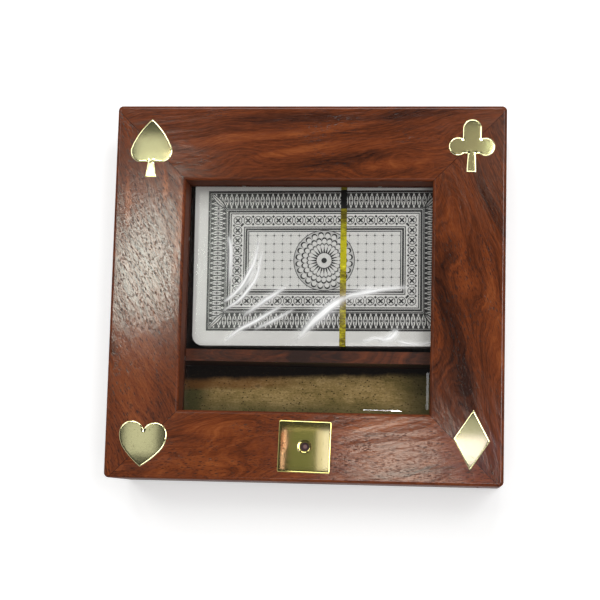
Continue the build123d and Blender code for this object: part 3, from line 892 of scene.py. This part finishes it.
pale_brass = paint(234, 229, 174)
plate_brass = paint(220, 208, 128)
suits = ("spade", 0.05, 1.3), ("club", 0.015, 4.4), ("heart", 0.05, 7.5), ("diamond", 0.05, 2.6)
for suit, crown, seed in suits:
    plate = struck_plate(suit + "_plate", suit + "_inlay", crown * MM)
    dress(plate, brass("brass_" + plate.name, pale_brass, seed))
die_plate = struck_plate("die_plate", "die_face_plate", 0.02 * MM)
dress(die_plate, brass("brass_die_plate", plate_brass, 5.5, wander=0.0006, polish=0.025))

# %% [markdown]
# ## The pins
# Plain steel, driven flush, with a little rust on them.

# %% Finish the pins
finish = Finish("steel_pin")
x, y, z = finish.place()
spots = finish.noise(x * 1.5, y * 1.5, z * 1.5, 4.0, 0.6)
colour = finish.mix(spots.rise(0.5, 0.75), paint(150, 148, 144), paint(94, 74, 58))
pin_steel = finish.done(finish.shine(colour, spots * 0.3 + 0.2, finish.bump(spots * 0.01), Metallic=1.0))
for node in ("base_pins", "wall_pins", "drawer_pins", "glass_bead_pins"):
    dress(nodes[node], pin_steel)

# %% [markdown]
# ## The card back
# The deck lies face down, a little skewed. Its back is a traditional ornament in black on white: ruled lines,
# a lattice border, a border of crossed rings, a dotted field and a rosette. It is drawn by measuring, as with
# compass and ruler. How far a point lies inside the print says which border it is in, and its place along
# the nearer side, cut into equal steps, says where it is in that border's repeat.

# %% Measure the deck
deck_low, deck_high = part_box("card_deck")
deck_centre = (deck_low + deck_high) / 2
deck_turn = 0.6  # degrees, as the deck lies
deck_length = 88.6
deck_width = 57.8
deck_corner = 3.5
card_thickness = 0.31
print("deck centre in mm:", [round(side / MM, 2) for side in deck_centre])

# %% Rule its lines and repeats
print_half_length = 39.7
print_half_width = 23.9
ink_black = paint(16, 16, 18)
card_white = paint(221, 220, 216)
soft = 0.05


def ruled(inset, at, width):
    """A line that runs round the print at one distance inside its edge."""
    return abs(inset - at).fall(width / 2 - soft, width / 2 + soft)


def to_nearest(along, pitch):
    """Distance from the nearest of many evenly spaced places, one of them at 0."""
    return abs((along / pitch + 0.5) % 1.0 - 0.5) * pitch


def either(choose, first, second):
    """first where choose is 1, second where it is 0."""
    return first * choose + second * (1 - choose)


# %% Draw the lattice border and the border of rings
def repeat_along(u, v, on_long, middle, counts):
    """Distance from a border's nearest repeat. Its sides are cut into counts, with a repeat at each end."""
    half_u, half_v = print_half_length - middle, print_half_width - middle
    step_u = to_nearest(u + half_u, 2 * half_u / counts[0])
    return either(on_long, step_u, to_nearest(v + half_v, 2 * half_v / counts[1]))


def lattice_border(u, v, inset, on_long, corner):
    """Bars across the band, waisted in its middle and solid at its edges, with a dot and a cross between."""
    middle = 3.45
    pitch = 1.74
    step = repeat_along(u, v, on_long, middle, (41, 24))
    t = abs(inset - middle)
    waist = t * t * 0.1 + 0.17
    bars = (step - waist).fall(-soft, soft)
    between = pitch / 2 - step
    dots = length(between, t).fall(0.22, 0.4)
    crossing = abs(between - abs(t - 1.0) * 0.42).fall(0.06, 0.16) * t.fall(1.9, 2.1)
    tips = (t - 1.95).rise(0.0, 0.12) * (between + t * 0.5).rise(1.2, 1.4)
    leaf_width = (inset * (math.pi / 6.2)).math("SINE") * 0.8
    outline = abs(corner - leaf_width).fall(0.1, 0.28)
    in_leaf = (leaf_width - corner).rise(0.0, 0.12)
    pattern = bars.most(dots).most(crossing).most(tips) * (1 - in_leaf)
    vein = corner.fall(0.06, 0.24) * in_leaf
    return pattern.most(outline).most(vein) * inset.rise(0.75, 0.85) * inset.fall(6.05, 6.15)


def ring_border(u, v, inset, on_long):
    middle = 10.15
    radius = 1.36
    lozenge_place = (1.74, 1.3)
    step = repeat_along(u, v, on_long, middle, (17, 8))
    t = inset - middle
    away = length(step, t)
    ring = abs(away - radius).fall(0.1, 0.25) * 0.85
    cross = abs(step - abs(t)).fall(0.3, 0.48) * away.fall(0.9, 1.1)
    lozenges = (abs(step - lozenge_place[0]) + abs(abs(t) - lozenge_place[1])).fall(0.44, 0.6)
    return ring.most(cross).most(lozenges) * inset.rise(8.3, 8.4) * inset.fall(12.0, 12.1)


# %% Draw the dotted field and the rosette
def dotted_field(u, v, inset):
    pitch = 2.84
    cross_u, cross_v = to_nearest(u, pitch), to_nearest(v, pitch)
    columns = cross_u.fall(0.06, 0.15) * to_nearest(v, pitch / 4).fall(0.12, 0.26)
    rows = cross_v.fall(0.06, 0.15) * to_nearest(u, pitch / 4).fall(0.12, 0.26)
    arms = cross_u.least(cross_v).fall(0.06, 0.18) * cross_u.most(cross_v).fall(0.42, 0.56)
    knots = (cross_u + cross_v).fall(0.3, 0.46)
    return (columns.most(rows) * 0.4).most(arms * 0.6).most(knots * 0.85) * inset.rise(14.2, 14.3)


def rosette(u, v, around):
    """Long petals round the eye, and three rings of round petals, each with a dark crescent at its tip."""
    petals = 24
    share = abs((around * (petals / (2 * math.pi))) % 1.0 - 0.5)
    away = length(u, v)
    arc = away * (2 * math.pi / petals)
    beside = share * arc
    other = (0.5 - share) * arc
    spoke = 0.34 - (away - 2.6) * 0.13
    marks = (other - spoke).fall(-soft, soft) * away.rise(2.55, 2.7) * away.fall(4.6, 5.0)
    petals_white = away.fall(4.6, 5.0)
    for radius, size, across in ((5.3, 0.68, beside), (7.0, 0.92, other), (8.85, 0.98, beside)):
        leaf = length(across, away - radius).fall(size - 0.08, size + 0.06)
        inner = length(across, away - radius + size * 0.4).fall(size * 0.74, size * 0.86)
        marks = marks.least(1 - leaf).most(leaf * (1 - inner) * away.rise(4.6, 5.0))
        petals_white = petals_white.most(inner)
    marks = marks.most((1 - petals_white) * 0.3)
    rings = abs(away - 10.3).fall(0.14, 0.28).most(abs(away - 2.55).fall(0.08, 0.2))
    eye = away.fall(0.85, 1.0)
    in_eye = away.fall(2.45, 2.55)
    return either(in_eye, eye, marks.most(rings)), away.fall(10.3, 10.4)


# %% Print the card
finish = Finish("printed_card")
x, y, z = finish.place()
u, v = turned(x - deck_centre.x / MM, y - deck_centre.y / MM, deck_turn)
from_end = print_half_length - abs(u)
from_side = print_half_width - abs(v)
inset = from_end.least(from_side)
on_long = (from_end - from_side).rise(-0.001, 0.001)
corner = abs(from_end - from_side) * math.sqrt(0.5)
around = finish.node("Math", [v, u], operation="ARCTAN2")

lines = ruled(inset, 0.34, 0.74)
for at, width in ((6.35, 0.34), (7.05, 0.74), (7.85, 0.34), (12.45, 0.34), (13.2, 0.66), (13.95, 0.34)):
    lines = lines.most(ruled(inset, at, width))
borders = lattice_border(u, v, inset, on_long, corner).most(ring_border(u, v, inset, on_long))
marks, in_rosette = rosette(u, v, around)
ink = either(in_rosette, marks, lines.most(borders).most(dotted_field(u, v, inset)))
on_top = z.rise(deck_high.z / MM - 0.02, deck_high.z / MM - 0.01)
ink = ink.least(1.0).most(0.0) * on_top
# Painted shade in the seams between the stacked cards' edges, with a shallow groove there too.
seam_groove_and_shade = abs((z / card_thickness) % 1.0 - 0.5).rise(0.36, 0.5) * (1 - on_top)
colour = finish.mix(seam_groove_and_shade * 0.5, card_white, paint(120, 118, 112))
colour = finish.mix(ink, colour, ink_black)
shader = finish.shine(colour, 0.4, finish.bump(seam_groove_and_shade * -0.04), IOR=1.25)
dress(nodes["card_deck"], finish.done(shader))

# %% [markdown]
# ## The clear wrap
# The film is shrunk round the deck and has crept into creases. It is one sheet here: a top that follows the
# deck's rounded corners, sides that turn down, and an underside. Each crease is a low ridge along a smooth
# bent line, and a white painted glint is laid along it, so every point of the sheet remembers how creased it
# is and how much painted glint it carries.

# %% Crease the film
wrap_low, wrap_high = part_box("deck_wrap")
fine_step = 0.25
coarse_step = 1.2
creased_below = 9.0
film_slack = 0.2
film_length = deck_length + 2 * film_slack
film_width = deck_width + 2 * film_slack
film_corner = deck_corner + film_slack
steepness = 0.14
turn_down = 0.12
tuck_width = 1.5
curve_parts = 5

# Each crease: its width in mm, how strong its painted glint is, and its path.
crease_lines = (
    (0.8, 0.8, ((-22.3, 7.5), (-23.3, 0.5), (-25.4, -4.2), (-27.8, -8.6), (-31.6, -12.7), (-34, -14.2))),
    (0.75, 0.8, ((-21.0, 3.5), (-22.7, -5.3), (-25.4, -9.7), (-28.8, -13.7), (-34.3, -17.4))),
    (1.3, 0.3, ((-22.5, -1.5), (-25.5, -7), (-29.5, -12.2))),
    (0.9, 0.55, ((-32.6, 8.6), (-31.7, 3.2), (-31.9, -8.3))),
    (1.1, 0.6, ((-12.2, -8.6), (-16.8, -11.7), (-21.3, -14.7), (-27.5, -19.3))),
    (0.9, 0.7, ((-13.1, -14.9), (-19.2, -18.5), (-23.7, -21.2), (-28.8, -23.9), (-33.6, -28.0))),
    (0.8, 0.5, ((-9.7, -16.4), (-16.8, -20.5), (-23.3, -23.6))),
    (1.5, 0.95, ((8.0, -12.2), (3.8, -14.7), (-0.7, -18.5), (-3.8, -21.2), (-8.7, -27.0))),
    (2.4, 0.3, ((5.0, -13.5), (0.5, -17), (-5, -21.5))),
    (0.9, 0.7, ((29.1, -9.0), (19.2, -10), (14.1, -11), (8.9, -12), (5.5, -14.2))),
    (1.6, 0.5, ((17.5, -9.6), (12.5, -11.2), (7.0, -12.8))),
    (0.7, 0.6, ((12.9, -27.6), (17.5, -26.3), (20.9, -26.6), (24.2, -23.0))),
    (1.2, 0.7, ((25.0, -23.4), (22.8, -26.0), (19.0, -27.2))),
    (0.6, 0.75, ((24.1, -27.0), (31.2, -28.4), (37.4, -27.1))),
)


def smooth_line(path):
    """A curve through the path's points, as many short straight parts."""
    points = [Vector(point) for point in path]
    points = [2 * points[0] - points[1]] + points + [2 * points[-1] - points[-2]]
    curve = []
    for a, b, c, d in zip(points, points[1:], points[2:], points[3:]):
        for part in range(curve_parts):
            t = part / curve_parts
            bend = (2 * a - 5 * b + 4 * c - d) * t * t + (3 * b - a - 3 * c + d) * t ** 3
            curve.append((2 * b + (c - a) * t + bend) / 2)
    return curve + [points[-2]]


creases = []
for crease_width, glint_strength, path in crease_lines:
    curve = smooth_line(path)
    reach = 2.6 * crease_width
    low = [min(places) - reach for places in zip(*curve)]
    high = [max(places) + reach for places in zip(*curve)]
    creases.append((crease_width, glint_strength, curve, low, high))


def crease_at(u, v):
    """How high the film stands over one place, how creased it is there, and how much painted glint it
    carries.
    """
    place = Vector((u, v))
    height, creased, milky = 0.0, 0.0, 0.0
    for width, glint_strength, curve, low, high in creases:
        if not (low[0] < u < high[0] and low[1] < v < high[1]):
            continue
        parts = enumerate(zip(curve, curve[1:]))
        nearest, share, number = min((*to_line(place, a, b), number) for number, (a, b) in parts)
        along = (number + share) / (len(curve) - 1)
        fade = math.sin(math.pi * min(0.99, max(0.01, along))) ** 0.7
        profile = math.exp(-(nearest / width) ** 2) * fade
        core = math.exp(-5 * (nearest / width) ** 2) * fade
        height += steepness * width * profile
        creased = max(creased, profile ** 0.5)
        milky = max(milky, glint_strength * (0.3 * profile + 0.7 * core))
    return height, creased, milky


print("creases:", len(creases))

# %% Lay the film
def half_length_at(v):
    """Half the film's length at a distance v from its middle line, with its rounded corners."""
    into_corner = max(0.0, abs(v) - (film_width / 2 - film_corner))
    return film_length / 2 - film_corner + math.sqrt(max(0.0, film_corner ** 2 - into_corner ** 2))


def on_deck(u, v, z):
    """A place in metres from the deck's own millimetres."""
    x, y = turned(u, v, -deck_turn)
    return Vector((deck_centre.x + x * MM, deck_centre.y + y * MM, z))


def steps(start, end, size):
    """Even steps from start up to end, without end itself."""
    count = math.ceil((end - start) / size)
    return [start + (end - start) * step / count for step in range(count)]


film = bmesh.new()
creased_layer = film.verts.layers.float.new("creased")
painted_glint_layer = film.verts.layers.float.new("milky")
film_v = steps(-film_width / 2, creased_below, fine_step) + steps(creased_below, film_width / 2, coarse_step)
film_share = steps(-1, 1, 2 * fine_step / film_length)
grid = []
for v in film_v + [film_width / 2]:
    line = []
    for share in film_share + [1]:
        u = half_length_at(v) * share
        edge = min(half_length_at(v) - abs(u), film_width / 2 - abs(v))
        tuck = min(1.0, edge / tuck_width)
        height, creased, milky = crease_at(u, v)
        place = on_deck(u, v, wrap_high.z + (height * tuck - turn_down * (1 - tuck) ** 2) * MM)
        line.append(film.verts.new(place))
        line[-1][creased_layer] = creased
        line[-1][painted_glint_layer] = milky * tuck
    grid.append(line)
for line, after in zip(grid, grid[1:]):
    for column in range(len(line) - 1):
        film.faces.new((line[column], line[column + 1], after[column + 1], after[column]))
rim_edges = [edge for edge in film.edges if len(edge.link_faces) == 1]
shoulder = wrap_high.z - turn_down * MM
for drop in (0.35, 0.5, 0.75, 1.0):
    rim_edges = wall_from(film, rim_edges, shoulder + (wrap_low.z - shoulder) * drop)
bmesh.ops.contextual_create(film, geom=rim_edges)
bmesh.ops.recalc_face_normals(film, faces=film.faces)
clear_wrap = piece_from("clear_wrap", film)
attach(clear_wrap, "drawer")
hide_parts("deck_wrap")

finish = Finish("clear_film")
x, y, z = finish.place()
crinkle = finish.noise(x * 0.1, y * 0.16, z, 1.0) * 0.04
creased = finish.node("Attribute", output="Fac", attribute_name="creased")
milky = finish.node("Attribute", output="Fac", attribute_name="milky")
clear = finish.node("BsdfTransparent", {"Color": (0.98, 0.98, 0.98, 1.0)})
mirror = finish.shine((1, 1, 1, 1), creased * 0.28 + 0.17, finish.bump(crinkle), Metallic=1.0)
solid = (mirrored_share(finish, 0.06) + milky * 0.3).least(0.9)
sheet = finish.blend(solid, clear, mirror)
# Painted glint: a white matt layer laid along the creases, where the film shows white glints.
painted_glint_white = finish.shine((1, 1, 1, 1), 0.4, IOR=2.2)
dress(clear_wrap, finish.done(finish.blend((milky * 1.5).least(0.97), sheet, painted_glint_white)))

# %% [markdown]
# ## The tear strip
# A narrow gold ribbon runs round the wrap. It is thin metallised film, which mirrors what is above it, and
# those reflections are painted into its colour: it goes from nearly black to bright yellow along its length.

# %% Finish the tear strip
finish = Finish("gold_film")
x, y, z = finish.place()
u, v = turned(x - deck_centre.x / MM, y - deck_centre.y / MM, deck_turn)
crinkle = finish.noise(x * 0.6, v * 1.6, z, 3.0, 0.65)
slow = finish.noise(x * 0.2, v * 0.22, 3.0, 2.0)
# Painted reflections: a brighter band, a black reach near the far end that stops just short of it, where the
# gold shows again as a painted glint, and an orange patch towards the front.
shade = crinkle * 0.7 + slow * 0.6 + patch(x, v, (11.2, 3.5), 9.0, 4.0, 90) * 0.3
gold_and_reflections = finish.ramp(shade, (0.38, paint(58, 46, 0)), (0.62, paint(126, 112, 0)), (0.92, paint(246, 236, 40)))
gold_and_reflections = finish.mix(v.rise(17.4, 17.9) * v.fall(24.0, 24.3), gold_and_reflections, paint(14, 12, 8))
gold_and_reflections = finish.mix(v.fall(-11.5, -8.5) * v.rise(-16.5, -13) * 0.5, gold_and_reflections, paint(120, 70, 12))
dress(nodes["tear_strip"], finish.done(finish.shine(gold_and_reflections, 0.16, finish.bump(crinkle * 0.06), Metallic=0.15)))
